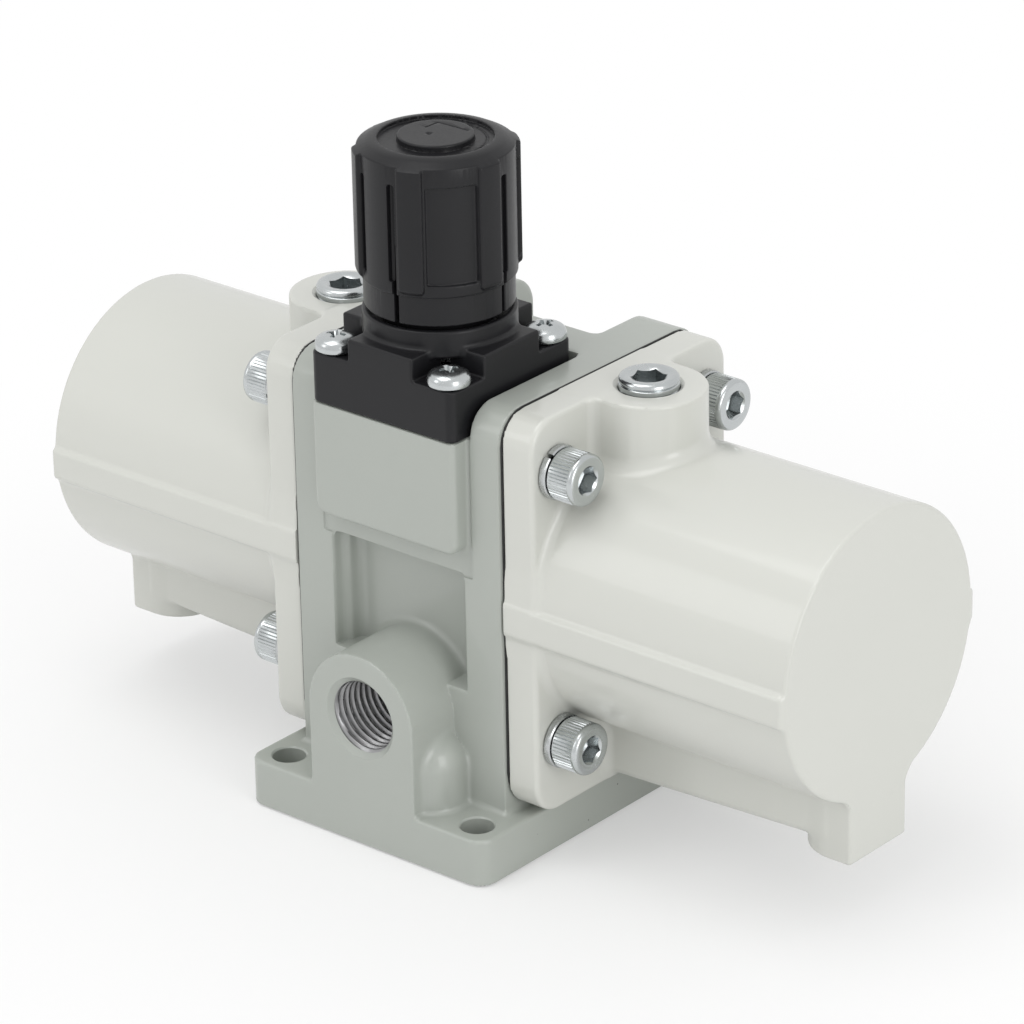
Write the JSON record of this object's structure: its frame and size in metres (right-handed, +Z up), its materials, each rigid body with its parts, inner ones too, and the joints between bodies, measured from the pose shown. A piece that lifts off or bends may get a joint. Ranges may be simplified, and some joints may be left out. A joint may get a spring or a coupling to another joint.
{
  "type": "air pressure booster",
  "caption": "Two-cylinder pneumatic pressure booster: centre body on a drilled foot, side cylinders, pipe ports and a locking adjusting knob on top.",
  "frame": {"origin": "middle of the foot's underside, below the middle of the centre body", "axes": "+X along the cylinders to the right one, -Y towards the side with the exhaust port, +Z up through the knob"},
  "size_m": [0.1528, 0.0694, 0.1149],
  "materials": {
    "cast_body": "semi-gloss cast",
    "cover_paint": "gloss paint",
    "black_plastic": "satin",
    "zinc_plate": "bright zinc",
    "steel": "machined",
    "spring_steel": "drawn",
    "brass": "machined",
    "aluminium": "machined",
    "rubber": "matt"
  },
  "bodies": {
    "housing": {"body": "cast_body", "cover_left": "cover_paint", "cover_right": "cover_paint", "gasket_left": "rubber", "gasket_right": "rubber", "cover_screw_left_1": "zinc_plate", "cover_screw_left_2": "zinc_plate", "cover_screw_left_3": "zinc_plate", "cover_screw_left_4": "zinc_plate", "cover_screw_right_1": "zinc_plate", "cover_screw_right_2": "zinc_plate", "cover_screw_right_3": "zinc_plate", "cover_screw_right_4": "zinc_plate", "spring_washer_left_1": "zinc_plate", "spring_washer_left_2": "zinc_plate", "spring_washer_left_3": "zinc_plate", "spring_washer_left_4": "zinc_plate", "spring_washer_right_1": "zinc_plate", "spring_washer_right_2": "zinc_plate", "spring_washer_right_3": "zinc_plate", "spring_washer_right_4": "zinc_plate", "bonnet": "black_plastic", "bonnet_screw_1": "zinc_plate", "bonnet_screw_2": "zinc_plate", "bonnet_screw_3": "zinc_plate", "bonnet_screw_4": "zinc_plate", "gauge_plug_left": "steel", "gauge_plug_right": "steel", "valve_seat": "brass", "rod_seal_left": "rubber", "rod_seal_right": "rubber", "spool_sleeve": "aluminium", "setting_spring": "spring_steel", "diaphragm": "rubber", "valve_spring": "spring_steel", "check_spring_left_front": "spring_steel", "check_spring_left_rear": "spring_steel", "check_spring_right_front": "spring_steel", "check_spring_right_rear": "spring_steel"},
    "adjuster": {"adjusting_screw": "steel"},
    "knob": {"knob": "black_plastic"},
    "nut": {"spring_nut": "brass"},
    "governor_valve": {"diaphragm_plate": "steel", "valve_stem": "brass"},
    "piston_set": {"piston_rod": "steel", "piston_left": "aluminium", "piston_right": "aluminium", "piston_seal_left": "rubber", "piston_seal_right": "rubber", "piston_nut_left": "steel", "piston_nut_right": "steel"},
    "spool": {"spool": "steel"},
    "check_left_front": {"check_poppet_left_front": "rubber"},
    "check_left_rear": {"check_poppet_left_rear": "rubber"},
    "check_right_front": {"check_poppet_right_front": "rubber"},
    "check_right_rear": {"check_poppet_right_rear": "rubber"}
  },
  "joints": [
    {"name": "adjuster_turn", "type": "hinge", "parent": "housing", "child": "adjuster", "pos_m": [0, -0.0129, 0.09], "axis": [0, 0, 1], "range_deg": [-2160, 720]},
    {"name": "knob_lift", "type": "slide", "parent": "adjuster", "child": "knob", "axis": [0, 0, 1], "range_m": [0, 0.0025]},
    {"name": "nut_travel", "type": "slide", "parent": "housing", "child": "nut", "axis": [0, 0, 1], "range_m": [-0.006, 0.002], "deforming": ["setting_spring"]},
    {"name": "governor_stroke", "type": "slide", "parent": "housing", "child": "governor_valve", "axis": [0, 0, -1], "range_m": [0, 0.001], "stiffness_N_per_m": 500, "springref_m": -0.002, "deforming": ["valve_spring", "diaphragm"]},
    {"name": "piston_stroke", "type": "slide", "parent": "housing", "child": "piston_set", "axis": [1, 0, 0], "range_m": [-0.019, 0.019]},
    {"name": "spool_shift", "type": "slide", "parent": "housing", "child": "spool", "axis": [1, 0, 0], "range_m": [-0.0019, 0.0019]},
    {"name": "check_lift_left_front", "type": "slide", "parent": "housing", "child": "check_left_front", "axis": [-1, 0, 0], "range_m": [0, 0.001], "stiffness_N_per_m": 30, "springref_m": -0.001, "deforming": ["check_spring_left_front"]},
    {"name": "check_lift_left_rear", "type": "slide", "parent": "housing", "child": "check_left_rear", "axis": [-1, 0, 0], "range_m": [0, 0.001], "stiffness_N_per_m": 30, "springref_m": -0.001, "deforming": ["check_spring_left_rear"]},
    {"name": "check_lift_right_front", "type": "slide", "parent": "housing", "child": "check_right_front", "axis": [1, 0, 0], "range_m": [0, 0.001], "stiffness_N_per_m": 30, "springref_m": -0.001, "deforming": ["check_spring_right_front"]},
    {"name": "check_lift_right_rear", "type": "slide", "parent": "housing", "child": "check_right_rear", "axis": [1, 0, 0], "range_m": [0, 0.001], "stiffness_N_per_m": 30, "springref_m": -0.001, "deforming": ["check_spring_right_rear"]}
  ],
  "couplings": [
    {"joint": "nut_travel", "follows": "adjuster_turn", "m_per_rad": 0.00015915},
    {"joint": "spool_shift", "follows": "piston_stroke", "ratio": 0.1}
  ]
}
